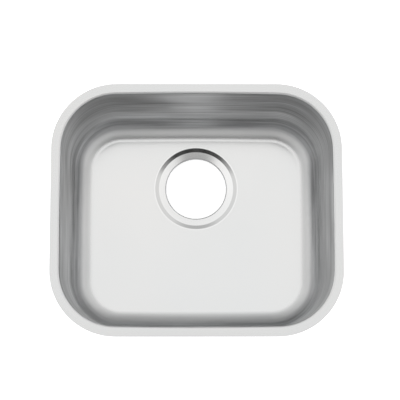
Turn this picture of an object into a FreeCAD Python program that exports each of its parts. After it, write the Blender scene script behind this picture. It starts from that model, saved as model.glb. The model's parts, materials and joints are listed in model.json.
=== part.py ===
import FreeCAD, Part
import math
import os

# Undermount kitchen sink: one pressed stainless bowl with a flat rim flange and a stepped
# drain recess, sound-deadening pads, and fixing straps that swing on studs under the flange.
# Millimetres. The origin is the middle of the flange's top face, which meets the worktop's
# underside. +Z is up, +X is to the right, and +Y runs to the rear, where the drain is.

# Sheet and outline
sheet_thickness = 1.0
overall_width = 400.0
overall_length = 348.0
flange_corner_radius = 90.0
side_flange_width = 13.0
end_flange_width = 13.5

# Bowl
bowl_depth = 180.0
bowl_corner_radius = 76.0
side_bow = 0.5
end_bow = 1.1
wall_draft_deg = 2.0
rim_bend_radius = 3.0
floor_fillet_radius = 28.0

# Drain recess
drain_hole_radius = 45.0
recess_shelf_width = 9.0
recess_step_width = 9.0
recess_rear_margin = 9.3
recess_depth = 1.8
recess_upper_bend = 9.0
recess_lower_bend = 9.0
shelf_fall_deg = 9.0
lip_bend_radius = 2.0
lip_length = 1.5

# Sound-deadening pads
base_pad_thickness = 3.0
base_pad_corner_radius = 10.0
base_pad_edge_margin = 14.0
base_pad_drain_gap = 14.0
base_pad_spacing = 8.0
wall_pad_thickness = 2.5
wall_pad_corner_radius = 10.0
wall_pad_drop = 44.0
wall_pad_floor_gap = 30.0
wall_pad_corner_gap = 15.5
pad_glue_gap = 0.2

# Fixing studs, straps, washers and nuts
end_stud_spacing = 140.0
side_stud_spacing = 100.0
stud_radius = 2.5
stud_length = 13.0
stud_tip_chamfer = 0.7
stud_collar_radius = 3.25
stud_collar_height = 0.7
strap_width = 9.2
strap_thickness = 1.5
strap_hole_spacing = 24.0
strap_edge_fillet = 0.3
strap_screw_hole_radius = 2.25
pivot_clearance = 0.08
strap_play = 0.3
washer_radius = 5.0
washer_thickness = 1.0
nut_across_flats = 8.0
nut_height = 4.0
nut_chamfer = 0.4
thread_clearance = 0.05

# Earth tag and its screw
tag_width = 16.0
tag_thickness = 1.0
tag_foot_gap = 0.3
tag_bend_radius = 0.8
tag_drop = 19.0
tag_hole_drop = 12.0
earth_screw_radius = 2.0
earth_screw_length = 6.0
earth_tip_gap = 2.0
earth_head_radius = 3.8
earth_head_height = 2.2
earth_head_fillet = 0.9
earth_slot_width = 0.9
earth_slot_length = 4.2
earth_slot_depth = 1.2
earth_washer_radius = 4.4
earth_washer_thickness = 0.8
earth_nut_across_flats = 7.0
earth_nut_height = 3.2
earth_hole_clearance = 0.15

# Two ends of an outline that are nearer than this already meet
join_tolerance = 1e-6

UP = FreeCAD.Vector(0, 0, 1)
REAR = FreeCAD.Vector(0, 1, 0)
ORIGIN = FreeCAD.Vector(0, 0, 0)

half_width = overall_width / 2
half_length = overall_length / 2
mouth_half_x = half_width - side_flange_width
mouth_half_y = half_length - end_flange_width
corner_x = mouth_half_x - side_bow - bowl_corner_radius
corner_y = mouth_half_y - end_bow - bowl_corner_radius


def bow_centre(mouth_half, bow, along, across):
    """How far the centre of a side's wide arc lies from the origin, so that it meets both corner arcs."""
    reach = mouth_half - bowl_corner_radius
    return (reach ** 2 - along ** 2 - across ** 2) / (2 * bow)


side_centre = bow_centre(mouth_half_x, side_bow, corner_x, corner_y)
end_centre = bow_centre(mouth_half_y, end_bow, corner_y, corner_x)
side_angle = math.degrees(math.atan2(corner_y, corner_x - side_centre))
end_angle = math.degrees(math.atan2(corner_x, corner_y - end_centre))
side_radius = mouth_half_x - side_centre
end_radius = mouth_half_y - end_centre

# The mouth's outline as eight tangent arcs, each (centre x, centre y, radius, first angle, last angle)
MOUTH_ARCS = [
    (side_centre, 0, side_radius, -side_angle, side_angle),
    (corner_x, corner_y, bowl_corner_radius, side_angle, 90 - end_angle),
    (0, end_centre, end_radius, 90 - end_angle, 90 + end_angle),
    (-corner_x, corner_y, bowl_corner_radius, 90 + end_angle, 180 - side_angle),
    (-side_centre, 0, side_radius, 180 - side_angle, 180 + side_angle),
    (-corner_x, -corner_y, bowl_corner_radius, 180 + side_angle, 270 - end_angle),
    (0, -end_centre, end_radius, 270 - end_angle, 270 + end_angle),
    (corner_x, -corner_y, bowl_corner_radius, 270 + end_angle, 360 - side_angle),
]

# The wall's section, in distance out from the mouth (u) and height (z)
draft = math.radians(wall_draft_deg)
inward = (-math.cos(draft), math.sin(draft))
rim_centre = (rim_bend_radius, -rim_bend_radius)
wall_top = (rim_centre[0] + rim_bend_radius * inward[0], rim_centre[1] + rim_bend_radius * inward[1])
fillet_z = floor_fillet_radius - bowl_depth
fillet_u = wall_top[0] - (floor_fillet_radius - (fillet_z - wall_top[1]) * inward[1]) / -inward[0]
floor_under = -bowl_depth - sheet_thickness

# The drain recess lies just in front of the floor's rear edge
recess_shelf_radius = drain_hole_radius + recess_shelf_width
recess_rim_radius = recess_shelf_radius + recess_step_width
drain_y = mouth_half_y + fillet_u - recess_rear_margin - recess_rim_radius


def outer_wall_u(z):
    """Distance out from the mouth to the outside of the straight wall at height z."""
    top_u = rim_centre[0] + (rim_bend_radius - sheet_thickness) * inward[0]
    top_z = rim_centre[1] + (rim_bend_radius - sheet_thickness) * inward[1]
    return top_u - (top_z - z) * math.tan(draft)


def on_circle(centre, radius, angle):
    """A point of the section's circle; the angle is measured from straight down, towards the outside."""
    return (centre[0] + radius * math.sin(angle), centre[1] - radius * math.cos(angle))


def section_line(start, end):
    return Part.LineSegment(FreeCAD.Vector(start[0], 0, start[1]), FreeCAD.Vector(end[0], 0, end[1])).toShape()


def section_arc(centre, radius, first, last):
    """An arc of the section between two angles measured from straight down, towards the outside."""
    points = [on_circle(centre, radius, first + (last - first) * step / 2) for step in range(3)]
    vectors = [FreeCAD.Vector(x, 0, z) for x, z in points]
    return Part.Arc(*vectors).toShape()


def bent_sheet(path, closing):
    """A face from a list of edges that runs round the sheet's section; closing adds its two cut ends."""
    return Part.Face(Part.Wire(Part.__sortEdges__(path + closing)))


def outline(offset, z):
    """The mouth's outline moved out by offset, as a closed wire at height z."""
    edges = []
    for x, y, radius, first, last in MOUTH_ARCS:
        edges.append(Part.makeCircle(radius + offset, FreeCAD.Vector(x, y, z), UP, first, last))
    return Part.Wire(edges)


def rounded_rectangle(low_x, low_y, high_x, high_y, radius, z):
    """A closed wire at height z with four straight sides and four round corners."""
    corners = [
        (high_x - radius, low_y + radius, 270),
        (high_x - radius, high_y - radius, 0),
        (low_x + radius, high_y - radius, 90),
        (low_x + radius, low_y + radius, 180),
    ]
    arcs = []
    for x, y, first in corners:
        arcs.append(Part.makeCircle(radius, FreeCAD.Vector(x, y, z), UP, first, first + 90))
    edges = []
    for arc, following in zip(arcs, arcs[1:] + arcs[:1]):
        edges.append(arc)
        start = arc.valueAt(arc.LastParameter)
        end = following.valueAt(following.FirstParameter)
        if start.distanceToPoint(end) > join_tolerance:
            edges.append(Part.LineSegment(start, end).toShape())
    return Part.Wire(edges)


def revolved_run(face, arc, first=None, last=None):
    """The section swept round one arc of the mouth, or round a stretch of it."""
    x, y, radius, arc_first, arc_last = arc
    first = arc_first if first is None else first
    last = arc_last if last is None else last
    solid = face.translated(FreeCAD.Vector(radius, 0, 0)).revolve(ORIGIN, UP, last - first)
    solid.rotate(ORIGIN, UP, first)
    solid.translate(FreeCAD.Vector(x, y, 0))
    return solid


def wall_section():
    """The bent sheet from the flange over the rim, down the wall and round the floor fillet."""
    side = math.pi / 2 + draft
    rim_inner = rim_bend_radius - sheet_thickness
    fillet_centre = (fillet_u, fillet_z)
    fillet_outer = floor_fillet_radius + sheet_thickness
    inside = [
        section_arc(rim_centre, rim_bend_radius, -math.pi, -side),
        section_line(on_circle(rim_centre, rim_bend_radius, -side),
                     on_circle(fillet_centre, floor_fillet_radius, math.pi - side)),
        section_arc(fillet_centre, floor_fillet_radius, math.pi - side, 0),
    ]
    outside = [
        section_arc(rim_centre, rim_inner, -math.pi, -side),
        section_line(on_circle(rim_centre, rim_inner, -side),
                     on_circle(fillet_centre, fillet_outer, math.pi - side)),
        section_arc(fillet_centre, fillet_outer, math.pi - side, 0),
    ]
    ends = [
        section_line((rim_bend_radius, 0), (rim_bend_radius, -sheet_thickness)),
        section_line((fillet_u, -bowl_depth), (fillet_u, floor_under)),
    ]
    return bent_sheet(inside + outside, ends)


def recess_section():
    """The bent sheet from the floor down the recess's step, across its shelf and over the drain lip."""
    fall = math.radians(shelf_fall_deg)
    upper = (recess_rim_radius, -bowl_depth - recess_upper_bend)
    lower = (recess_shelf_radius, -bowl_depth - recess_depth + recess_lower_bend)
    across = upper[0] - lower[0]
    rise = upper[1] - lower[1]
    bends = recess_upper_bend + recess_lower_bend
    steep = math.atan2(rise, across) + math.asin(bends / math.hypot(across, rise))
    lip_x = drain_hole_radius + lip_bend_radius
    shelf_start = on_circle(lower, recess_lower_bend, fall)
    shelf_drop = (shelf_start[0] - lip_x + lip_bend_radius * math.sin(fall)) * math.tan(fall)
    lip_z = shelf_start[1] - shelf_drop - lip_bend_radius * math.cos(fall)
    lip = (lip_x, lip_z)
    lip_end = lip_z - lip_length

    def skin(depth):
        """The sheet's lines at a depth below its top face."""
        over = recess_upper_bend - depth
        under = recess_lower_bend + depth
        turn = lip_bend_radius - depth
        top = math.pi
        return [
            section_arc(upper, over, top, top + steep),
            section_line(on_circle(upper, over, top + steep), on_circle(lower, under, steep)),
            section_arc(lower, under, steep, fall),
            section_line(on_circle(lower, under, fall), on_circle(lip, turn, top + fall)),
            section_arc(lip, turn, top + fall, top + math.pi / 2),
            section_line((lip_x - turn, lip_z), (lip_x - turn, lip_end)),
        ]

    ends = [
        section_line((recess_rim_radius, -bowl_depth), (recess_rim_radius, floor_under)),
        section_line((drain_hole_radius, lip_end), (drain_hole_radius + sheet_thickness, lip_end)),
    ]
    return bent_sheet(skin(0) + skin(sheet_thickness), ends)


def holed_plate(outer, hole):
    """A flat sheet that fills one closed wire, with a second one as its hole."""
    return Part.Face(outer).extrude(-sheet_thickness * UP).cut(Part.Face(hole).extrude(-sheet_thickness * UP))


def bowl():
    flange_outer = rounded_rectangle(-half_width, -half_length, half_width, half_length,
                                     flange_corner_radius, 0)
    flange = holed_plate(flange_outer, outline(rim_bend_radius, 0))
    section = wall_section()
    walls = [revolved_run(section, arc) for arc in MOUTH_ARCS]
    drain = FreeCAD.Vector(0, drain_y, 0)
    rim = Part.Wire(Part.makeCircle(recess_rim_radius, drain - bowl_depth * UP, UP))
    floor = holed_plate(outline(fillet_u, -bowl_depth), rim)
    recess = recess_section().revolve(ORIGIN, UP, 360)
    recess.translate(drain)
    return flange.fuse(walls + [floor, recess]).removeSplitter()


def base_pad(low_x, low_y, high_x, high_y):
    """A flat pad with round corners, stuck under the bowl's floor."""
    wire = rounded_rectangle(low_x, low_y, high_x, high_y, base_pad_corner_radius, floor_under)
    return Part.Face(wire).extrude(-base_pad_thickness * UP)


def base_pads():
    edge_x = mouth_half_x + fillet_u - base_pad_edge_margin
    edge_y = mouth_half_y + fillet_u - base_pad_edge_margin
    drain_reach = recess_rim_radius + base_pad_drain_gap
    front_pad_rear = drain_y - drain_reach
    side_pad_front = front_pad_rear + base_pad_spacing
    return {
        "base_pad_front": base_pad(-edge_x, -edge_y, edge_x, front_pad_rear),
        "base_pad_left": base_pad(-edge_x, side_pad_front, -drain_reach, edge_y),
        "base_pad_right": base_pad(drain_reach, side_pad_front, edge_x, edge_y),
    }


def wall_pad(arc, run):
    """A pad that follows the outside of one wall, whose bowed part is half as long as run says."""
    radius = arc[2]
    middle = (arc[3] + arc[4]) / 2
    length = 2 * (run - wall_pad_corner_gap)
    top = -wall_pad_drop
    bottom = floor_fillet_radius + wall_pad_floor_gap - bowl_depth
    near = [(outer_wall_u(z) + pad_glue_gap, z) for z in (top, bottom)]
    far = [(u + wall_pad_thickness, z) for u, z in near]
    corners = [near[0], far[0], far[1], near[1]]
    edges = [section_line(a, b) for a, b in zip(corners, corners[1:] + corners[:1])]
    reach = math.degrees(math.asin((length / 2 + wall_pad_thickness) / radius))
    band = revolved_run(Part.Face(Part.Wire(edges)), arc, middle - reach, middle + reach)
    blank = Part.Face(rounded_rectangle(bottom, -length / 2, top, length / 2, wall_pad_corner_radius, 0))
    blank.rotate(ORIGIN, REAR, -90)
    cutter = blank.extrude(FreeCAD.Vector(half_width + half_length, 0, 0))
    cutter.rotate(ORIGIN, UP, middle)
    return band.common(cutter)


def wall_pads():
    return {
        "wall_pad_right": wall_pad(MOUTH_ARCS[0], corner_y),
        "wall_pad_rear": wall_pad(MOUTH_ARCS[2], corner_x),
        "wall_pad_left": wall_pad(MOUTH_ARCS[4], corner_y),
        "wall_pad_front": wall_pad(MOUTH_ARCS[6], corner_x),
    }


def ring(outer_radius, inner_radius, height):
    """A flat ring that stands on the origin."""
    return Part.makeCylinder(outer_radius, height).cut(Part.makeCylinder(inner_radius, height))


def hexagon_nut(across_flats, height, hole_radius):
    """A chamfered hexagon nut that stands on the origin."""
    corner_radius = across_flats / 2 / math.cos(math.pi / 6)
    corners = []
    for step in range(7):
        angle = math.pi / 3 * step
        corners.append(FreeCAD.Vector(corner_radius * math.cos(angle), corner_radius * math.sin(angle), 0))
    body = Part.Face(Part.makePolygon(corners)).extrude(height * UP)
    barrel = Part.makeCylinder(corner_radius, height - 2 * nut_chamfer, nut_chamfer * UP)
    face_radius = across_flats / 2
    lower = Part.makeCone(face_radius, corner_radius, nut_chamfer)
    upper = Part.makeCone(corner_radius, face_radius, nut_chamfer, (height - nut_chamfer) * UP)
    shaped = body.common(barrel.fuse([lower, upper]))
    return shaped.cut(Part.makeCylinder(hole_radius, height))


# The studs stand along the middle of the flange's flat; these are the heights of the pieces on them
collar_under = -sheet_thickness - stud_collar_height
strap_top = collar_under - strap_play
washer_top = strap_top - strap_thickness - strap_play
nut_top = washer_top - washer_thickness
end_stud_y = half_length - (end_flange_width - rim_bend_radius) / 2
side_stud_x = half_width - (side_flange_width - rim_bend_radius) / 2

# Each strap's name, stud place and the way it points when it is stowed
STRAPS = {
    "strap_front_left": (-end_stud_spacing / 2, -end_stud_y, 0),
    "strap_front_right": (end_stud_spacing / 2, -end_stud_y, 180),
    "strap_rear_left": (-end_stud_spacing / 2, end_stud_y, 0),
    "strap_rear_right": (end_stud_spacing / 2, end_stud_y, 180),
    "strap_left_front": (-side_stud_x, -side_stud_spacing / 2, 90),
    "strap_left_rear": (-side_stud_x, side_stud_spacing / 2, 270),
    "strap_right_front": (side_stud_x, -side_stud_spacing / 2, 90),
    "strap_right_rear": (side_stud_x, side_stud_spacing / 2, 270),
}


def at_studs(shape, z):
    """One copy of the shape at every stud, at height z."""
    return Part.Compound([shape.translated(FreeCAD.Vector(x, y, z)) for x, y, turn in STRAPS.values()])


def stud():
    """A weld stud that hangs from the origin, with its collar against the flange."""
    shank = Part.makeCylinder(stud_radius, stud_length - stud_tip_chamfer, (stud_tip_chamfer - stud_length) * UP)
    tip = Part.makeCone(stud_radius - stud_tip_chamfer, stud_radius, stud_tip_chamfer, -stud_length * UP)
    collar = Part.makeCylinder(stud_collar_radius, stud_collar_height, -stud_collar_height * UP)
    return collar.fuse([shank, tip]).removeSplitter()


def strap():
    """A round-ended strap with its pivot hole at the origin and its screw hole along +X."""
    end = strap_width / 2
    blank = rounded_rectangle(-end, -end, strap_hole_spacing + end, end, end, 0)
    plate = Part.Face(blank).extrude(-strap_thickness * UP)
    rims = [edge for edge in plate.Edges if abs(edge.tangentAt(edge.FirstParameter).z) < 0.5]
    plate = plate.makeFillet(strap_edge_fillet, rims)
    pivot = Part.makeCylinder(stud_radius + pivot_clearance, strap_thickness, -strap_thickness * UP)
    screw_place = FreeCAD.Vector(strap_hole_spacing, 0, -strap_thickness)
    screw_hole = Part.makeCylinder(strap_screw_hole_radius, strap_thickness, screw_place)
    return plate.cut([pivot, screw_hole])


def straps():
    pieces = {}
    for name, (x, y, turn) in STRAPS.items():
        piece = strap()
        piece.rotate(ORIGIN, UP, turn)
        piece.translate(FreeCAD.Vector(x, y, strap_top))
        pieces[name] = piece
    return pieces


def fixings():
    washer = ring(washer_radius, stud_radius + thread_clearance, washer_thickness)
    nut = hexagon_nut(nut_across_flats, nut_height, stud_radius + thread_clearance)
    return {
        "fixing_studs": at_studs(stud(), -sheet_thickness),
        "fixing_washers": at_studs(washer, washer_top - washer_thickness),
        "fixing_nuts": at_studs(nut, nut_top - nut_height),
    }


# The tag's upright stands between these two distances to the rear, so that the screw's tip clears the wall
tag_back = mouth_half_y + sheet_thickness + earth_tip_gap + earth_screw_length
tag_front = tag_back - tag_thickness
earth_hole_z = -sheet_thickness - tag_hole_drop


def towards_front(shape, y):
    """A shape modelled on the origin along +Z, turned to point to the front from y at the earth hole."""
    turned = shape.copy()
    turned.rotate(ORIGIN, FreeCAD.Vector(1, 0, 0), 90)
    turned.translate(FreeCAD.Vector(0, y, earth_hole_z))
    return turned


def earth_tag():
    """An angle whose foot is welded under the flange and whose upright takes the bonding screw."""
    top = -sheet_thickness
    foot_front = mouth_half_y + rim_bend_radius + tag_foot_gap
    inner = tag_bend_radius
    outer = tag_bend_radius + tag_thickness
    bend_y = tag_back - outer
    bend_z = top - outer
    slant = math.sqrt(0.5)

    def point(y, z):
        return FreeCAD.Vector(-tag_width / 2, y, z)

    outside_bend = Part.Arc(point(bend_y, top), point(bend_y + outer * slant, bend_z + outer * slant),
                            point(tag_back, bend_z))
    inside_bend = Part.Arc(point(tag_front, bend_z), point(bend_y + inner * slant, bend_z + inner * slant),
                           point(bend_y, top - tag_thickness))
    edges = [
        Part.LineSegment(point(foot_front, top), point(bend_y, top)).toShape(),
        outside_bend.toShape(),
        Part.LineSegment(point(tag_back, bend_z), point(tag_back, top - tag_drop)).toShape(),
        Part.LineSegment(point(tag_back, top - tag_drop), point(tag_front, top - tag_drop)).toShape(),
        Part.LineSegment(point(tag_front, top - tag_drop), point(tag_front, bend_z)).toShape(),
        inside_bend.toShape(),
        Part.LineSegment(point(bend_y, top - tag_thickness), point(foot_front, top - tag_thickness)).toShape(),
        Part.LineSegment(point(foot_front, top - tag_thickness), point(foot_front, top)).toShape(),
    ]
    angle = Part.Face(Part.Wire(edges)).extrude(FreeCAD.Vector(tag_width, 0, 0))
    hole = Part.makeCylinder(earth_screw_radius + earth_hole_clearance, tag_thickness)
    return angle.cut(towards_front(hole, tag_back))


def earth_screw():
    """A cross-slotted pan-head screw, from its head behind the tag to its tip in front of the nut."""
    head = Part.makeCylinder(earth_head_radius, earth_head_height, -earth_head_height * UP)
    crown = [edge for edge in head.Edges if edge.isClosed() and edge.CenterOfMass.z < -earth_head_height / 2]
    head = head.makeFillet(earth_head_fillet, crown)
    half_slot = earth_slot_width / 2
    slot = Part.makeBox(earth_slot_length, earth_slot_width, earth_slot_depth,
                        FreeCAD.Vector(-earth_slot_length / 2, -half_slot, -earth_head_height))
    cross = slot.copy()
    cross.rotate(ORIGIN, UP, 90)
    shank = Part.makeCylinder(earth_screw_radius, earth_screw_length)
    return towards_front(head.cut([slot, cross]).fuse(shank).removeSplitter(), tag_back)


def earth_pieces():
    washer = ring(earth_washer_radius, earth_screw_radius + earth_hole_clearance, earth_washer_thickness)
    nut = hexagon_nut(earth_nut_across_flats, earth_nut_height, earth_screw_radius + thread_clearance)
    return {
        "earth_tag": earth_tag(),
        "earth_screw": earth_screw(),
        "earth_washer": towards_front(washer, tag_front),
        "earth_nut": towards_front(nut, tag_front - earth_washer_thickness),
    }


os.makedirs("parts", exist_ok=True)
nodes = {"bowl": bowl()}
for group in (base_pads(), wall_pads(), straps(), fixings(), earth_pieces()):
    nodes.update(group)
for name, shape in nodes.items():
    solids = [solid for solid in shape.Solids if solid.isValid()]
    print(name, len(solids), "solids", round(shape.Volume, 1), "mm3")
    shape.exportStep("parts/" + name + ".step")
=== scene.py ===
import json
import math
import bmesh
import bpy
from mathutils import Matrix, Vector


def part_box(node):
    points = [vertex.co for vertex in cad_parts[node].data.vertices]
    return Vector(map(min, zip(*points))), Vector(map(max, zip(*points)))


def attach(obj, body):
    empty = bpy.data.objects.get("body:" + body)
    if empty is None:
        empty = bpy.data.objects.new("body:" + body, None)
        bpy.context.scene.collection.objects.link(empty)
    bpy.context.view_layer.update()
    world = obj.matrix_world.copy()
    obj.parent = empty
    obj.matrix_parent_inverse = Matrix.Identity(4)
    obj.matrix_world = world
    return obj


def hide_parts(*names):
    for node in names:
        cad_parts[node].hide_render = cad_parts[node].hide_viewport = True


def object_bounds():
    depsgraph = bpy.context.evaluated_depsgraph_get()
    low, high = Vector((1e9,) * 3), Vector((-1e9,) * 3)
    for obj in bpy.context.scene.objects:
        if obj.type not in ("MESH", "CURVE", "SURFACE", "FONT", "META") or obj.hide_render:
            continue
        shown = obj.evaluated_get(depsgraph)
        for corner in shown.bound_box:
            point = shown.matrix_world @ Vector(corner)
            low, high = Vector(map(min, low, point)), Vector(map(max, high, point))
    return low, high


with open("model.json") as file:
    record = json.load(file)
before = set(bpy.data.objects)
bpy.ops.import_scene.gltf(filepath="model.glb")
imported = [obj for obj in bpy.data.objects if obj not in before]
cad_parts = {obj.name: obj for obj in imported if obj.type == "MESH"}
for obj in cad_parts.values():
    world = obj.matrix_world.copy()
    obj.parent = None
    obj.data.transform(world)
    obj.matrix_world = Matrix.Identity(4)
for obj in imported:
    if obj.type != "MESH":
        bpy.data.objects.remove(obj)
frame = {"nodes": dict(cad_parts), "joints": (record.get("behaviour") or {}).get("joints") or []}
cad_low, cad_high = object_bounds()

# Metres. The origin is the middle of the flange's top face, +X is to the right and +Y runs to the rear.

# The sheet's outline, seen from above
FLANGE_HALF_WIDTH = 0.200
FLANGE_HALF_LENGTH = 0.174
FLANGE_CORNER_RADIUS = 0.090
MOUTH_HALF_WIDTH = 0.187
MOUTH_HALF_LENGTH = 0.1605
MOUTH_CORNER_RADIUS = 0.076
SIDE_BOW = 0.0005
END_BOW = 0.0011

# The sheet's section
SHEET = 0.001
RIM_BEND = 0.003
WALL_DRAFT = math.radians(2.0)
BOWL_DEPTH = 0.180
FLOOR_BEND = 0.028
RECESS_RIM_RADIUS = 0.063
RECESS_SHELF_RADIUS = 0.0540
RECESS_DEPTH = 0.0018
RECESS_UPPER_BEND = 0.009
RECESS_LOWER_BEND = 0.009
SHELF_FALL = math.radians(9)
DRAIN_RADIUS = 0.045
LIP_BEND = 0.002
RECESS_REAR_MARGIN = 0.0093
FLAT_LEAD = 0.0008
EDGE_ROUNDING = 0.00018

# The mesh: steps round each of the outline's twelve stretches, points nearer than this become one, an edge bent
# by more than this stays sharp, and faces bent by less than this are one flat
STRETCH_STEPS = 24
JOIN_DISTANCE = 1e-6
SHARP_ANGLE = math.radians(40)
FLAT_ANGLE = math.radians(0.3)

# The fixings hang from the flange's underside
STUD_CREST = 0.0025
STUD_THREAD_DEPTH = 0.0004
STUD_PITCH = 0.0008
STUD_TIP = 0.0007
COLLAR_RADIUS = 0.00325
COLLAR_HEIGHT = 0.0007
COLLAR_BEND = 0.0002
THREAD_START = 0.0012
THREAD_STEPS = 8
STUD_FACETS = 28
WASHER_FACETS = 48
WASHER_RADIUS = 0.005
WASHER_BORE = 0.00255
WASHER_ROUNDING = 0.00025
PAD_EDGE = 0.0006
TAG_EDGE = 0.00012
EARTH_HEIGHT = -0.013

# The satin steel. The walls' finish is reached at this tilt, and their streaks end between these uprights.
FLAT_ROUGHNESS = 0.13
WALL_ROUGHNESS = 0.45
RECESS_ROUGHNESS = 0.13
OUTSIDE_ROUGHNESS = 0.52
WALL_FINISH_TILT = math.radians(20)
WALL_STREAK_ENDS = (0.55, 0.93)
# The walls' random streaks and blotches are partly the brushing's own tone and partly painted reflections
STREAK_CONTRAST = 1.3
BLOTCH_CONTRAST = 0.9
LINE_CONTRAST = 0.03
# Painted highlight: the drain recess's colour is made lighter by this share
RECESS_PAINTED_HIGHLIGHT = 0.18
# Painted shade: the recess's steep step, between these tilts, is made darker by this share
STEP_PAINTED_SHADE = 0.18
STEP_TILTS = (0.17, 0.24)
# Painted shade: the walls are made darker towards the rim by this share
WALL_TOP_PAINTED_SHADE = 0.28
# The flange's top and the top of its rim bend are made a little darker by this share
FLANGE_DARKENING = 0.06
BRUSHING_DEPTH = 0.000004
COOL_STEEL = (0.572, 0.582, 0.584, 1)
WARM_STEEL = (0.592, 0.586, 0.578, 1)
WALL_STEEL = (0.60, 0.605, 0.61, 1)
OUTSIDE_STEEL = (0.44, 0.445, 0.45, 1)

# The studio's soft lights: degrees round from +X, degrees up, the angles from its middle at which each starts
# to fade and is gone, and how bright it is
SOFT_LIGHTS = [
    (110, 85, 6, 24, 0.22),
    (90, 90, 15, 60, 0.2),
    (0, 12, 12, 45, 0.65),
    (45, 12, 12, 45, 0.2),
    (135, 12, 12, 45, 0.2),
    (180, 12, 12, 45, 0.75),
]
ROOM_LIGHT = 0.95
HORIZON_LIGHT = 0.3
HORIZON_ENDS = (0.1, 0.2)
FLOOR_REACH = 12.0
FLOOR_LIFT = 0.6

# Its dark cards, given the same way, with the share of the light that each takes away
DARK_CARDS = [
    (211, 66, 3, 13, 0.5),
    (238, 69, 3, 14, 0.9),
    (270, 70, 3, 13, 0.85),
    (302, 69, 3, 14, 0.9),
    (329, 66, 3, 13, 0.6),
    (270, 81, 3, 11, 0.5),
    (90, 40, 8, 24, 0.35),
]

# The camera looks down into the bowl from above, a little in front of its middle
CAMERA_PLACE = (-0.0111, -0.2517, 1.8371)
CAMERA_PITCH = math.radians(8.163)
CAMERA_YAW = math.radians(-0.479)
CAMERA_LENS = 122.2
CAMERA_SENSOR = 36.0


class Number:
    """A number inside a node tree, so that a rule can be written as a sum."""

    def __init__(self, tree, socket):
        self.tree = tree
        self.socket = socket

    def math(self, operation, *others):
        made = self.tree.nodes.new("ShaderNodeMath")
        made.operation = operation
        for place, value in enumerate((self,) + others):
            plug(self.tree, value, made.inputs[place])
        return Number(self.tree, made.outputs[0])

    def __add__(self, other):
        return self.math("ADD", other)

    def __sub__(self, other):
        return self.math("SUBTRACT", other)

    def __rsub__(self, other):
        return self.math("MULTIPLY", -1.0).math("ADD", other)

    def __mul__(self, other):
        return self.math("MULTIPLY", other)

    def __truediv__(self, other):
        return self.math("DIVIDE", other)

    __radd__ = __add__
    __rmul__ = __mul__

    def share(self):
        """The number kept between 0 and 1."""
        made = self.math("ADD", 0.0)
        made.socket.node.use_clamp = True
        return made


def plug(tree, value, socket):
    """Sets a socket to a value, or links it to another node's output."""
    if isinstance(value, Number):
        value = value.socket
    if isinstance(value, bpy.types.NodeSocket):
        tree.links.new(value, socket)
    else:
        socket.default_value = value


def add_node(tree, kind, inputs=(), **settings):
    """A new node with its settings and its inputs, each a value or another node's output."""
    made = tree.nodes.new(kind)
    for name, value in settings.items():
        setattr(made, name, value)
    for name, value in dict(inputs).items():
        plug(tree, value, made.inputs[name])
    return made


# ---- Geometry Nodes ----

def new_tree(name, sizes):
    """A Geometry Nodes tree with a drawing in, a mesh out and a named number for each size."""
    tree = bpy.data.node_groups.new(name, "GeometryNodeTree")
    tree.interface.new_socket("Geometry", in_out="INPUT", socket_type="NodeSocketGeometry")
    for label, value in sizes.items():
        kind = "NodeSocketInt" if isinstance(value, int) else "NodeSocketFloat"
        tree.interface.new_socket(label, in_out="INPUT", socket_type=kind)
    tree.interface.new_socket("Geometry", in_out="OUTPUT", socket_type="NodeSocketGeometry")
    given = tree.nodes.new("NodeGroupInput")
    numbers = {label: Number(tree, given.outputs[label]) for label in sizes}
    return tree, given.outputs["Geometry"], numbers


def run_tree(name, drawing, tree, sizes):
    """The mesh that the tree makes of the drawing, as a plain object at the origin."""
    piece = bpy.data.objects.new(name, drawing)
    bpy.context.scene.collection.objects.link(piece)
    modifier = piece.modifiers.new("rule", "NODES")
    modifier.node_group = tree
    for item in tree.interface.items_tree:
        if item.in_out == "INPUT" and item.name in sizes:
            modifier[item.identifier] = sizes[item.name]
    return applied(piece)


def applied(piece):
    """The piece with its modifiers worked into its mesh."""
    mesh = bpy.data.meshes.new_from_object(piece.evaluated_get(bpy.context.evaluated_depsgraph_get()))
    piece.modifiers.clear()
    piece.data = mesh
    mesh.name = piece.name
    if len(mesh.materials) > 1 and mesh.materials[0] is None:
        mesh.materials.pop(index=0)
    return piece


def named_value(tree, label, kind):
    """A value that the drawing's points carry."""
    return add_node(tree, "GeometryNodeInputNamedAttribute", {"Name": label}, data_type=kind).outputs[0]


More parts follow.
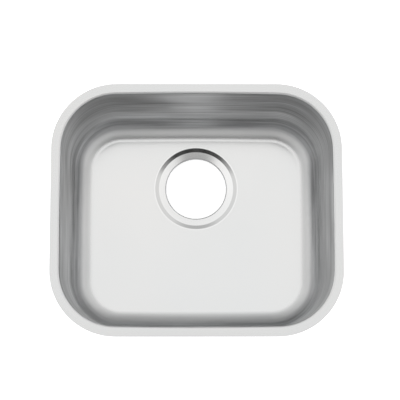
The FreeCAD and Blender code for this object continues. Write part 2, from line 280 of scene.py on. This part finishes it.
class CarriedSection:
    """A grid with one row of points for each step round, and in each row the points of the bent section."""

    def __init__(self, tree, drawing, bend_steps, rows):
        self.tree = tree
        line = add_node(tree, "GeometryNodeMeshToCurve", {"Mesh": drawing}).outputs[0]
        bend = named_value(tree, "bend", "FLOAT")
        self.line = add_node(tree, "GeometryNodeFilletCurve", {"Curve": line, "Count": bend_steps, "Radius": bend},
                             mode="POLY").outputs[0]
        stations = add_node(tree, "GeometryNodeAttributeDomainSize", {"Geometry": self.line}, component="CURVE")
        stations = Number(tree, stations.outputs[0])
        self.mesh = add_node(tree, "GeometryNodeMeshGrid", {"Vertices X": rows + 1, "Vertices Y": stations}).outputs[0]
        index = Number(tree, add_node(tree, "GeometryNodeInputIndex").outputs[0])
        self.station = index.math("MODULO", stations)
        self.row = ((index + 0.5) / stations).math("FLOOR")
        place = add_node(tree, "GeometryNodeInputPosition").outputs[0]
        place = add_node(tree, "ShaderNodeSeparateXYZ", {0: self.sampled(place, "FLOAT_VECTOR")})
        self.out, self.height = (Number(tree, place.outputs[axis]) for axis in ("X", "Z"))

    def sampled(self, value, kind):
        """The section's value at the station of each of the grid's points."""
        return add_node(self.tree, "GeometryNodeSampleIndex",
                        {"Geometry": self.line, "Value": value, "Index": self.station}, data_type=kind).outputs[0]

    def placed(self, x, y):
        """The grid's mesh with each point moved to its place."""
        position = add_node(self.tree, "ShaderNodeCombineXYZ", {"X": x, "Y": y, "Z": self.height}).outputs[0]
        return add_node(self.tree, "GeometryNodeSetPosition",
                        {"Geometry": self.mesh, "Position": position}).outputs[0]


# ---- The pressed bowl ----

# Which outline a corner of the section follows round the bowl
FLANGE_EDGE, MOUTH, DRAIN = 0.0, 1.0, 2.0


def bowl_section():
    """The section as a drawing: its corners from the flange's edge to the drain lip, with each corner's bend."""
    lean = math.tan(WALL_DRAFT)
    wall_top = (RIM_BEND - RIM_BEND * math.cos(WALL_DRAFT), RIM_BEND * math.sin(WALL_DRAFT) - RIM_BEND)
    mouth_corner = wall_top[0] - wall_top[1] * lean
    floor_corner = mouth_corner - BOWL_DEPTH * lean
    floor_start = floor_corner - FLOOR_BEND * math.tan(math.pi / 4 - WALL_DRAFT / 2)
    across = RECESS_RIM_RADIUS - RECESS_SHELF_RADIUS
    rise = RECESS_DEPTH - RECESS_UPPER_BEND - RECESS_LOWER_BEND
    bends = RECESS_UPPER_BEND + RECESS_LOWER_BEND
    steep = math.atan2(rise, across) + math.asin(bends / math.hypot(across, rise))
    step_top = RECESS_RIM_RADIUS - RECESS_UPPER_BEND * math.tan(steep / 2)
    shelf_start = RECESS_SHELF_RADIUS + RECESS_LOWER_BEND * math.sin(SHELF_FALL)
    shelf_z = RECESS_LOWER_BEND * (1 - math.cos(SHELF_FALL)) - BOWL_DEPTH - RECESS_DEPTH

    def shelf_height(radius):
        return shelf_z + (radius - shelf_start) * math.tan(SHELF_FALL)

    step_fall = math.tan(steep) - math.tan(SHELF_FALL)
    step_foot = (step_top * math.tan(steep) - shelf_start * math.tan(SHELF_FALL) + shelf_z + BOWL_DEPTH) / step_fall
    corners = [
        # distance out from the mouth or the drain's middle, height, bend radius, steps in the bend, outline
        (0, 0, 0, 1, FLANGE_EDGE),
        (RIM_BEND + FLAT_LEAD, 0, 0, 1, MOUTH),
        (mouth_corner, 0, RIM_BEND, 10, MOUTH),
        (floor_corner, -BOWL_DEPTH, FLOOR_BEND, 26, MOUTH),
        (floor_start - FLAT_LEAD, -BOWL_DEPTH, 0, 1, MOUTH),
        (RECESS_RIM_RADIUS + FLAT_LEAD, -BOWL_DEPTH, 0, 1, DRAIN),
        (step_top, -BOWL_DEPTH, RECESS_UPPER_BEND, 8, DRAIN),
        (step_foot, shelf_height(step_foot), RECESS_LOWER_BEND, 8, DRAIN),
        (DRAIN_RADIUS, shelf_height(DRAIN_RADIUS), LIP_BEND, 8, DRAIN),
        (DRAIN_RADIUS, cad_low.z, 0, 1, DRAIN),
    ]
    drawing = bpy.data.meshes.new("bowl_section")
    drawing.from_pydata([(corner[0], 0, corner[1]) for corner in corners],
                        [(place, place + 1) for place in range(len(corners) - 1)], [])
    for label, kind, column in (("bend", "FLOAT", 2), ("steps", "INT", 3), ("outline", "FLOAT", 4)):
        attribute = drawing.attributes.new(label, kind, "POINT")
        attribute.data.foreach_set("value", [corner[column] for corner in corners])
    drain_y = MOUTH_HALF_LENGTH + floor_start - RECESS_REAR_MARGIN - RECESS_RIM_RADIUS
    return drawing, drain_y


def bowl_tree(sizes, material):
    """The bowl's top skin: the bent section carried round eight tangent arcs, the flange's edge and the drain."""
    tree, drawing, size = new_tree("pressed_bowl", sizes)
    section = CarriedSection(tree, drawing, named_value(tree, "steps", "INT"), size["Stretch Steps"] * 12)
    turn = section.row / size["Stretch Steps"]
    out = section.out
    outline = Number(tree, section.sampled(named_value(tree, "outline", "FLOAT"), "FLOAT"))
    run = Number(tree, section.sampled(add_node(tree, "GeometryNodeSplineParameter").outputs["Length"], "FLOAT"))

    # One quarter of the outline has three stretches: half a side, a corner and half an end
    quarter = turn.math("PINGPONG", 3.0)
    phase = turn * math.radians(30)
    side_x = phase.math("COSINE").math("SIGN")
    side_y = phase.math("SINE").math("SIGN")
    side, corner, end = quarter.share(), (quarter - 1).share(), (quarter - 2).share()
    on_side = quarter.math("LESS_THAN", 1.0)
    on_end = quarter.math("GREATER_THAN", 2.0)
    on_corner = 1 - on_side - on_end

    # The mouth's wide arcs meet its corner arcs, so their centres follow from how far they bow
    radius = size["Mouth Corner Radius"]
    corner_x = size["Mouth Half Width"] - size["Side Bow"] - radius
    corner_y = size["Mouth Half Length"] - size["End Bow"] - radius
    square = corner_x * corner_x + corner_y * corner_y
    side_reach = size["Mouth Half Width"] - radius
    end_reach = size["Mouth Half Length"] - radius
    side_centre = (side_reach * side_reach - square) / (size["Side Bow"] * 2)
    end_centre = (end_reach * end_reach - square) / (size["End Bow"] * 2)
    side_angle = corner_y.math("ARCTAN2", corner_x - side_centre)
    end_angle = corner_x.math("ARCTAN2", corner_y - end_centre)
    facing = side * side_angle + corner * (math.pi / 2 - side_angle - end_angle) + end * end_angle
    reach = (on_side * (size["Mouth Half Width"] - side_centre) + on_corner * radius
             + on_end * (size["Mouth Half Length"] - end_centre) + out)
    mouth_x = on_side * side_centre + on_corner * corner_x + reach * facing.math("COSINE")
    mouth_y = on_end * end_centre + on_corner * corner_y + reach * facing.math("SINE")

    edge_radius = size["Flange Corner Radius"]
    edge_turn = corner * (math.pi / 2)
    edge_x = (size["Flange Half Width"] - edge_radius) * (1 - end) + edge_radius * edge_turn.math("COSINE")
    edge_y = (size["Flange Half Length"] - edge_radius) * side + edge_radius * edge_turn.math("SINE")
    drain_x = out * (quarter * math.radians(30)).math("COSINE")
    drain_y = out * (quarter * math.radians(30)).math("SINE")

    at_edge = outline.math("LESS_THAN", 0.5)
    at_drain = outline.math("GREATER_THAN", 1.5)
    at_mouth = 1 - at_edge - at_drain
    x = side_x * (at_edge * edge_x + at_mouth * mouth_x + at_drain * drain_x)
    y = side_y * (at_edge * edge_y + at_mouth * mouth_y + at_drain * drain_y) + at_drain * size["Drain Middle"]
    sheet = section.placed(x, y)

    # Where a point lies round the bowl and down its section, for the brushed finish
    grain = add_node(tree, "ShaderNodeCombineXYZ",
                     {"X": phase.math("COSINE"), "Y": phase.math("SINE"), "Z": run}).outputs[0]
    sheet = add_node(tree, "GeometryNodeStoreNamedAttribute", {"Geometry": sheet, "Name": "grain", "Value": grain},
                     data_type="FLOAT_VECTOR", domain="POINT").outputs[0]
    sheet = add_node(tree, "GeometryNodeMergeByDistance", {"Geometry": sheet, "Distance": JOIN_DISTANCE}).outputs[0]
    sheet = add_node(tree, "GeometryNodeSetShadeSmooth", {"Geometry": sheet}).outputs[0]
    sheet = add_node(tree, "GeometryNodeRealizeInstances", {"Geometry": sheet}).outputs[0]
    sheet = add_node(tree, "GeometryNodeSetMaterial", {"Geometry": sheet, "Material": material}).outputs[0]
    add_node(tree, "NodeGroupOutput", {"Geometry": sheet})
    return tree


def make_bowl(drawing, drain_middle, material):
    """The pressed sheet: its top skin from the rule, then its thickness and deburred edges."""
    sizes = {
        "Flange Half Width": FLANGE_HALF_WIDTH,
        "Flange Half Length": FLANGE_HALF_LENGTH,
        "Flange Corner Radius": FLANGE_CORNER_RADIUS,
        "Mouth Half Width": MOUTH_HALF_WIDTH,
        "Mouth Half Length": MOUTH_HALF_LENGTH,
        "Mouth Corner Radius": MOUTH_CORNER_RADIUS,
        "Side Bow": SIDE_BOW,
        "End Bow": END_BOW,
        "Drain Middle": drain_middle,
        "Stretch Steps": STRETCH_STEPS,
    }
    bowl = run_tree("pressed_bowl", drawing, bowl_tree(sizes, material), sizes)
    skin = bowl.modifiers.new("sheet", "SOLIDIFY")
    skin.thickness = SHEET
    skin.offset = -1
    skin.use_even_offset = True
    edges = bowl.modifiers.new("deburred", "BEVEL")
    edges.width = EDGE_ROUNDING
    edges.segments = 2
    edges.limit_method = "ANGLE"
    edges.angle_limit = math.radians(60)
    bowl.modifiers.new("flats", "WEIGHTED_NORMAL")
    stands_for(applied(bowl), "bowl")


def stands_for(piece, node):
    """The piece takes a fixed CAD piece's place on the sink."""
    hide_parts(node)
    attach(piece, "sink")


# ---- The fixings and pads ----

def turned_drawing(name, corners, places):
    """A turned piece's section, as corners (out, height, bend, threaded), and a loose point for each copy."""
    drawing = bpy.data.meshes.new(name)
    points = [(corner[0], 0, corner[1]) for corner in corners] + [(x, y, 0) for x, y in places]
    drawing.from_pydata(points, [(place, place + 1) for place in range(len(corners) - 1)], [])
    for label, column in (("bend", 2), ("threaded", 3)):
        attribute = drawing.attributes.new(label, "FLOAT", "POINT")
        attribute.data.foreach_set("value", [corner[column] for corner in corners] + [0] * len(places))
    attribute = drawing.attributes.new("copy", "BOOLEAN", "POINT")
    attribute.data.foreach_set("value", [False] * len(corners) + [True] * len(places))
    return drawing


def turned_tree(name, sizes, material):
    """Turned pieces: the section is carried round its axis, the thread is cut, and each place gets a copy."""
    tree, drawing, size = new_tree(name, sizes)
    parted = add_node(tree, "GeometryNodeSeparateGeometry",
                      {"Geometry": drawing, "Selection": named_value(tree, "copy", "BOOLEAN")}, domain="POINT")
    section = CarriedSection(tree, parted.outputs["Inverted"], 3, size["Facets"])
    turn = section.row / size["Facets"]

    # The thread's height goes up and down once for each pitch, and its crests and roots are flattened
    threaded = Number(tree, section.sampled(named_value(tree, "threaded", "FLOAT"), "FLOAT"))
    groove = (section.height / size["Pitch"] - turn).math("PINGPONG", 0.5) * 2
    reach = section.out - ((groove - 0.5) * 1.4 + 0.5).share() * threaded * size["Thread Depth"]
    angle = turn * math.tau
    skin = section.placed(reach * angle.math("COSINE"), reach * angle.math("SINE"))
    skin = add_node(tree, "GeometryNodeMergeByDistance", {"Geometry": skin, "Distance": JOIN_DISTANCE}).outputs[0]
    skin = add_node(tree, "GeometryNodeFlipFaces", {"Mesh": skin}).outputs[0]
    skin = add_node(tree, "GeometryNodeSetShadeSmooth", {"Geometry": skin}).outputs[0]
    bent = Number(tree, add_node(tree, "GeometryNodeInputMeshEdgeAngle").outputs["Unsigned Angle"])
    skin = add_node(tree, "GeometryNodeSetShadeSmooth",
                    {"Geometry": skin, "Selection": bent.math("GREATER_THAN", SHARP_ANGLE), "Shade Smooth": False},
                    domain="EDGE").outputs[0]
    copies = add_node(tree, "GeometryNodeInstanceOnPoints",
                      {"Points": parted.outputs["Selection"], "Instance": skin}).outputs[0]
    whole = add_node(tree, "GeometryNodeRealizeInstances", {"Geometry": copies}).outputs[0]
    whole = add_node(tree, "GeometryNodeSetMaterial", {"Geometry": whole, "Material": material}).outputs[0]
    add_node(tree, "NodeGroupOutput", {"Geometry": whole})
    return tree


def turned_pieces(name, corners, material, facets):
    """Copies of a turned piece, one on each strap's pivot."""
    places = [joint["pos_m"][:2] for joint in frame["joints"]]
    sizes = {"Facets": facets, "Pitch": STUD_PITCH, "Thread Depth": STUD_THREAD_DEPTH}
    return run_tree(name, turned_drawing(name, corners, places), turned_tree(name, sizes, material), sizes)


def make_studs(material):
    """Weld studs: a collar against the flange, a plain neck, the thread and a chamfered tip."""
    low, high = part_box("fixing_studs")
    neck = high.z - COLLAR_HEIGHT
    start = high.z - THREAD_START
    end = low.z + STUD_TIP
    turns = round((start - end) / STUD_PITCH * THREAD_STEPS)
    corners = [
        (0, high.z, 0, 0),
        (COLLAR_RADIUS, high.z, 0, 0),
        (COLLAR_RADIUS, neck, COLLAR_BEND, 0),
        (STUD_CREST, neck, COLLAR_BEND, 0),
    ]
    corners += [(STUD_CREST, start + (end - start) * step / turns, 0, 1) for step in range(turns + 1)]
    corners += [(STUD_CREST - STUD_TIP, low.z, 0, 0), (0, low.z, 0, 0)]
    stands_for(turned_pieces("weld_studs", corners, material, STUD_FACETS), "fixing_studs")


def make_washers(material):
    """Punched washers, rounded on top by the punch and sharper below."""
    low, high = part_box("fixing_washers")
    middle = (low.z + high.z) / 2
    corners = [
        (WASHER_BORE, middle, 0, 0),
        (WASHER_BORE, high.z, WASHER_ROUNDING / 3, 0),
        (WASHER_RADIUS, high.z, WASHER_ROUNDING, 0),
        (WASHER_RADIUS, low.z, WASHER_ROUNDING / 3, 0),
        (WASHER_BORE, low.z, WASHER_ROUNDING / 3, 0),
        (WASHER_BORE, middle, 0, 0),
    ]
    washers = turned_pieces("punched_washers", corners, material, WASHER_FACETS)
    stands_for(washers, "fixing_washers")


def eased_copy(name, node, edge, material):
    """A copy of a CAD piece whose sharp edges are eased."""
    mesh = bpy.data.meshes.new(name)
    shape = bmesh.new()
    shape.from_mesh(frame["nodes"][node].data)
    bmesh.ops.remove_doubles(shape, verts=shape.verts, dist=JOIN_DISTANCE)
    bmesh.ops.dissolve_limit(shape, angle_limit=FLAT_ANGLE, verts=shape.verts, edges=shape.edges)
    for face in shape.faces:
        face.smooth = True
    shape.to_mesh(mesh)
    shape.free()
    mesh.materials.append(material)
    piece = bpy.data.objects.new(name, mesh)
    bpy.context.scene.collection.objects.link(piece)
    eased = piece.modifiers.new("eased", "BEVEL")
    eased.width = edge
    eased.segments = 3
    eased.limit_method = "ANGLE"
    eased.angle_limit = SHARP_ANGLE
    piece.modifiers.new("flats", "WEIGHTED_NORMAL")
    return applied(piece)


# ---- Finishes ----

def new_material(name):
    """An empty node material and its tree."""
    material = bpy.data.materials.new(name)
    material.use_nodes = True
    material.node_tree.nodes.clear()
    return material, material.node_tree


def mapped_noise(tree, place, stretch, detail=2.0):
    """A cloudy pattern from 0 to 1, drawn out by the stretch along each axis."""
    mapped = add_node(tree, "ShaderNodeMapping", {"Vector": place, "Scale": stretch})
    return Number(tree, add_node(tree, "ShaderNodeTexNoise",
                                 {"Vector": mapped.outputs[0], "Scale": 1.0, "Detail": detail}).outputs[0])


def blended(tree, share, first, second):
    """A colour between two colours."""
    made = add_node(tree, "ShaderNodeMix", data_type="RGBA")
    for label, value in (("Factor_Float", share), ("A_Color", first), ("B_Color", second)):
        plug(tree, value, next(socket for socket in made.inputs if socket.identifier == label))
    return next(socket for socket in made.outputs if socket.identifier == "Result_Color")


def faded(tree, value, low, high):
    """0 below low, 1 above high and a smooth rise between them."""
    return Number(tree, add_node(tree, "ShaderNodeMapRange", {"Value": value, "From Min": low, "From Max": high},
                                 interpolation_type="SMOOTHSTEP").outputs[0])


def finish_material(tree, colour, roughness, height, depth, metallic=1.0):
    """The shader of a finish, whose height pattern stands as proud as depth says, in metres."""
    bump = add_node(tree, "ShaderNodeBump", {"Height": height, "Distance": depth, "Strength": 1.0})
    surface = add_node(tree, "ShaderNodeBsdfPrincipled",
                       {"Base Color": colour, "Metallic": metallic, "Roughness": roughness,
                        "Normal": bump.outputs[0]})
    add_node(tree, "ShaderNodeOutputMaterial", {"Surface": surface.outputs[0]})


def brushed_steel(drain_middle):
    """Satin stainless sheet: its walls are brushed round the bowl, its flats along the width, its outside is dull."""
    material, tree = new_material("brushed_steel")
    coordinates = add_node(tree, "ShaderNodeTexCoord")
    place = coordinates.outputs["Object"]
    facing = add_node(tree, "ShaderNodeSeparateXYZ", {0: coordinates.outputs["Normal"]})
    facing_x, facing_y, upright = (Number(tree, facing.outputs[axis]) for axis in ("X", "Y", "Z"))
    sides = add_node(tree, "ShaderNodeSeparateXYZ", {0: place})
    beside, behind, height = (Number(tree, sides.outputs[axis]) for axis in ("X", "Y", "Z"))
    grain = add_node(tree, "ShaderNodeAttribute", attribute_name="grain").outputs["Vector"]

    tilt = (1 - upright * upright).share().math("SQRT")
    wall = (tilt / math.sin(WALL_FINISH_TILT)).share()
    steep = 1 - faded(tree, upright.math("ABSOLUTE"), WALL_STREAK_ENDS[0], WALL_STREAK_ENDS[1])
    outside = faded(tree, beside * facing_x + behind * facing_y, 0.02, 0.08).math(
        "MAXIMUM", 1 - faded(tree, upright, -0.6, -0.1))
    past_drain = behind - drain_middle
    reach = (beside * beside + past_drain * past_drain).math("SQRT")
    recess = (1 - faded(tree, reach, RECESS_RIM_RADIUS - 0.002, RECESS_RIM_RADIUS + 0.001)) * (1 - outside)

    streaks = mapped_noise(tree, grain, (1.3, 1.3, 230.0), 3.0)
    brushing = mapped_noise(tree, grain, (9.0, 9.0, 2400.0), 2.0)
    flat_brushing = mapped_noise(tree, place, (14.0, 2400.0, 14.0), 2.0)
    drawing_marks = mapped_noise(tree, grain, (150.0, 150.0, 7.0), 4.0)
    cloud = mapped_noise(tree, place, (9.0, 9.0, 9.0), 2.0)
    blotches = mapped_noise(tree, grain, (1.7, 1.7, 34.0), 1.0)
    tint = mapped_noise(tree, place, (5.0, 5.0, 5.0), 1.0)

    lines = wall * brushing + (1 - wall) * flat_brushing
    roughness = (FLAT_ROUGHNESS + wall * (WALL_ROUGHNESS - FLAT_ROUGHNESS)
                 + steep * (streaks - 0.5) * 0.4 + (cloud - 0.5) * 0.05 + (lines - 0.5) * 0.06)
    roughness = roughness * (1 - recess) + recess * RECESS_ROUGHNESS
    roughness = roughness * (1 - outside) + outside * (OUTSIDE_ROUGHNESS + (drawing_marks - 0.5) * 0.3)
    # Random streaks and blotches on the walls, partly the brushing's own tone and partly painted reflections
    wall_tone = ((streaks - 0.5) * STREAK_CONTRAST + (blotches - 0.5) * BLOTCH_CONTRAST
                 # painted shade darkening the walls towards the rim
                 - faded(tree, height, -0.15, 0.0) * WALL_TOP_PAINTED_SHADE)
    # The recess's painted highlight, less the painted shade on its steep step
    recess_painted_light = RECESS_PAINTED_HIGHLIGHT - faded(tree, tilt, *STEP_TILTS) * STEP_PAINTED_SHADE
    inside_tone = (recess * recess_painted_light + steep * wall_tone + (lines - 0.5) * LINE_CONTRAST
                   # the flange's top made a little darker
                   - faded(tree, height, -0.004, -0.001) * FLANGE_DARKENING)
    outside_tone = (drawing_marks - 0.5) * 0.5 + (cloud - 0.5) * 0.3
    tone = inside_tone * (1 - outside) + outside_tone * outside + (cloud - 0.5) * 0.05
    warm = blended(tree, tint, COOL_STEEL, WARM_STEEL)
    colour = blended(tree, outside, blended(tree, steep, warm, WALL_STEEL), OUTSIDE_STEEL)
    finish_material(tree, toned(tree, colour, 1 + tone), roughness, lines, BRUSHING_DEPTH)
    return material


def toned(tree, colour, tone):
    """The colour made lighter or darker by a number."""
    return add_node(tree, "ShaderNodeVectorMath", {0: colour, 1: as_vector(tree, tone)},
                    operation="MULTIPLY").outputs[0]


def as_vector(tree, number):
    """The same number along each axis."""
    return add_node(tree, "ShaderNodeCombineXYZ", {0: number, 1: number, 2: number}).outputs[0]


def matt_rubber():
    """Bitumen rubber: nearly black and matt, with mineral specks, a fine pebble and a paler bloom in patches."""
    material, tree = new_material("matt_rubber")
    place = add_node(tree, "ShaderNodeTexCoord").outputs["Object"]
    cells = add_node(tree, "ShaderNodeTexVoronoi", {"Vector": place, "Scale": 1500.0})
    near_middle = 1 - faded(tree, Number(tree, cells.outputs["Distance"]), 0.05, 0.22)
    specks = near_middle * faded(tree, mapped_noise(tree, place, (900.0,) * 3), 0.5, 0.62)
    pebble = mapped_noise(tree, place, (1300.0,) * 3, 3.0)
    bloom = mapped_noise(tree, place, (26.0,) * 3, 4.0)
    colour = blended(tree, faded(tree, bloom, 0.35, 0.75), (0.020, 0.020, 0.021, 1), (0.046, 0.045, 0.044, 1))
    colour = blended(tree, specks * 0.5, colour, (0.2, 0.19, 0.18, 1))
    finish_material(tree, colour, 0.72 + (bloom - 0.5) * 0.25 + (pebble - 0.5) * 0.1, pebble, 0.00012, metallic=0.0)
    return material


def rolled_strip():
    """Strip steel: rolled lines along each piece's length, torn grey edges and light scratches."""
    material, tree = new_material("rolled_strip")
    coordinates = add_node(tree, "ShaderNodeTexCoord")
    place = coordinates.outputs["Object"]
    sides = add_node(tree, "ShaderNodeSeparateXYZ", {0: place})
    at_side = faded(tree, Number(tree, sides.outputs["X"]).math("ABSOLUTE"), 0.180, 0.185)
    upright = Number(tree, add_node(tree, "ShaderNodeSeparateXYZ", {0: coordinates.outputs["Normal"]}).outputs["Z"])
    edge = 1 - faded(tree, upright.math("ABSOLUTE"), 0.3, 0.8)
    along_x = mapped_noise(tree, place, (30.0, 2600.0, 2600.0), 3.0)
    along_y = mapped_noise(tree, place, (2600.0, 30.0, 2600.0), 3.0)
    lines = along_x * (1 - at_side) + along_y * at_side
    tears = mapped_noise(tree, place, (1800.0, 1800.0, 240.0), 3.0)
    cloud = mapped_noise(tree, place, (60.0,) * 3, 3.0)
    roughness = 0.34 + (lines - 0.5) * 0.2 + edge * (0.2 + (tears - 0.5) * 0.3)
    tone = (lines - 0.5) * 0.12 + (cloud - 0.5) * 0.16 - edge * (0.15 - (tears - 0.5) * 0.5)
    colour = toned(tree, blended(tree, cloud, (0.52, 0.53, 0.54, 1), (0.56, 0.55, 0.54, 1)), 1 + tone)
    finish_material(tree, colour, roughness, lines * (1 - edge) + tears * edge * 3, 0.00001)
    return material


def weld_stud_steel():
    """Dull threaded steel, straw and blue beside the weld."""
    material, tree = new_material("weld_stud_steel")
    place = add_node(tree, "ShaderNodeTexCoord").outputs["Object"]
    height = Number(tree, add_node(tree, "ShaderNodeSeparateXYZ", {0: place}).outputs["Z"])
    cloud = mapped_noise(tree, place, (420.0,) * 3, 3.0)
    hot = height + (cloud - 0.5) * 0.0008
    colour = blended(tree, cloud, (0.36, 0.36, 0.36, 1), (0.46, 0.46, 0.455, 1))
    colour = blended(tree, faded(tree, hot, -0.0036, -0.0022), colour, (0.50, 0.40, 0.25, 1))
    colour = blended(tree, faded(tree, hot, -0.0021, -0.0014), colour, (0.24, 0.28, 0.40, 1))
    scratches = mapped_noise(tree, place, (1500.0, 1500.0, 300.0), 3.0)
    finish_material(tree, toned(tree, colour, 0.9 + scratches * 0.2), 0.42 + (cloud - 0.5) * 0.2, scratches, 0.000012)
    return material


def zinc_plate():
    """Bright zinc plate with a faint blue passivation, a fine grain and rubbed bright patches."""
    material, tree = new_material("zinc_plate")
    place = add_node(tree, "ShaderNodeTexCoord").outputs["Object"]
    cloud = mapped_noise(tree, place, (180.0,) * 3, 4.0)
    grain = mapped_noise(tree, place, (2200.0,) * 3, 2.0)
    colour = blended(tree, faded(tree, cloud, 0.3, 0.7), (0.60, 0.645, 0.69, 1), (0.68, 0.685, 0.68, 1))
    colour = toned(tree, colour, 0.96 + grain * 0.08)
    finish_material(tree, colour, 0.3 + (cloud - 0.5) * 0.22 + (grain - 0.5) * 0.1, grain, 0.000008)
    return material


def turned_brass():
    """Brass with the fine rings of the lathe round the screw's axis, and darker where it has tarnished."""
    material, tree = new_material("turned_brass")
    place = add_node(tree, "ShaderNodeTexCoord").outputs["Object"]
    sides = add_node(tree, "ShaderNodeSeparateXYZ", {0: place})
    beside, behind, height = (Number(tree, sides.outputs[axis]) for axis in ("X", "Y", "Z"))
    above = height - EARTH_HEIGHT
    reach = (beside * beside + above * above).math("SQRT")
    rings = mapped_noise(tree, add_node(tree, "ShaderNodeCombineXYZ", {0: reach, 1: behind}).outputs[0],
                         (5200.0, 5200.0, 1.0), 2.0)
    tarnish = mapped_noise(tree, place, (260.0,) * 3, 4.0)
    colour = blended(tree, faded(tree, tarnish, 0.4, 0.75), (0.78, 0.58, 0.27, 1), (0.55, 0.38, 0.17, 1))
    finish_material(tree, toned(tree, colour, 0.94 + rings * 0.12), 0.26 + (tarnish - 0.5) * 0.25, rings, 0.00001)
    return material


# ---- Studio ----

def make_camera():
    """The camera that the photo was taken with, as near as an unshifted lens comes to it."""
    lens = bpy.data.cameras.new("camera")
    lens.lens = CAMERA_LENS
    lens.sensor_width = CAMERA_SENSOR
    camera = bpy.data.objects.new("camera", lens)
    camera.location = CAMERA_PLACE
    camera.rotation_mode = "ZYX"
    camera.rotation_euler = (CAMERA_PITCH, CAMERA_YAW, 0)
    bpy.context.scene.collection.objects.link(camera)
    bpy.context.scene.camera = camera


def floor_paint():
    """Pale floor that shows white to the camera and to the metal, with the object's soft shadow left on it."""
    material, tree = new_material("studio_floor")
    path = add_node(tree, "ShaderNodeLightPath")
    camera_ray, glossy_ray, transmission_ray = (
        Number(tree, path.outputs[label]) for label in ("Is Camera Ray", "Is Glossy Ray", "Is Transmission Ray"))
    lift = camera_ray.math("MAXIMUM", glossy_ray).math("MAXIMUM", transmission_ray) * FLOOR_LIFT
    paint = add_node(tree, "ShaderNodeBsdfDiffuse", {"Color": (0.8, 0.8, 0.8, 1)})
    glow = add_node(tree, "ShaderNodeEmission", {"Color": (1, 1, 1, 1), "Strength": lift})
    both = add_node(tree, "ShaderNodeAddShader", {0: paint.outputs[0], 1: glow.outputs[0]})
    add_node(tree, "ShaderNodeOutputMaterial", {"Surface": both.outputs[0]})
    return material


def make_floor():
    """A wide floor at the height of the drain lip, on which the sink stands."""
    corners = [(FLOOR_REACH * x, FLOOR_REACH * y, cad_low.z) for x, y in ((-1, -1), (1, -1), (1, 1), (-1, 1))]
    mesh = bpy.data.meshes.new("studio_floor")
    mesh.from_pydata(corners, [], [(0, 1, 2, 3)])
    mesh.materials.append(floor_paint())
    floor = bpy.data.objects.new("studio_floor", mesh)
    bpy.context.scene.collection.objects.link(floor)


def make_world():
    """A bright round room with a paler horizon, its soft lights and its dark cards."""
    world = bpy.data.worlds.new("studio")
    world.use_nodes = True
    tree = world.node_tree
    tree.nodes.clear()
    way = add_node(tree, "ShaderNodeTexCoord").outputs["Generated"]
    up = Number(tree, add_node(tree, "ShaderNodeSeparateXYZ", {0: way}).outputs["Z"])

    def patch(turn, rise, fades, gone):
        turn, rise, fades, gone = (math.radians(angle) for angle in (turn, rise, fades, gone))
        aim = (math.cos(rise) * math.cos(turn), math.cos(rise) * math.sin(turn), math.sin(rise))
        towards = add_node(tree, "ShaderNodeVectorMath", {0: way, 1: aim}, operation="DOT_PRODUCT").outputs["Value"]
        return faded(tree, towards, math.cos(gone), math.cos(fades))

    light = ROOM_LIGHT + (1 - faded(tree, up, *HORIZON_ENDS)) * HORIZON_LIGHT
    for *shape, level in SOFT_LIGHTS:
        light = light + patch(*shape) * level
    for *shape, share in DARK_CARDS:
        light = light * (1 - patch(*shape) * share)
    sky = add_node(tree, "ShaderNodeBackground", {"Color": (1, 1, 1, 1), "Strength": light})
    add_node(tree, "ShaderNodeOutputWorld", {"Surface": sky.outputs[0]})
    bpy.context.scene.world = world


make_camera()
section, drain_middle = bowl_section()
make_bowl(section, drain_middle, brushed_steel(drain_middle))
rubber, strip, zinc, brass = matt_rubber(), rolled_strip(), zinc_plate(), turned_brass()
make_studs(weld_stud_steel())
make_washers(zinc)
for node in sorted(frame["nodes"]):
    if "_pad_" in node:
        stands_for(eased_copy("rubber_" + node, node, PAD_EDGE, rubber), node)
stands_for(eased_copy("folded_tag", "earth_tag", TAG_EDGE, strip), "earth_tag")
for node, piece in frame["nodes"].items():
    finish = strip if node.startswith("strap_") else brass if node.startswith("earth_") else zinc
    piece.data.materials.clear()
    piece.data.materials.append(finish)
make_floor()
make_world()

bpy.context.scene.view_settings.view_transform = "Standard"
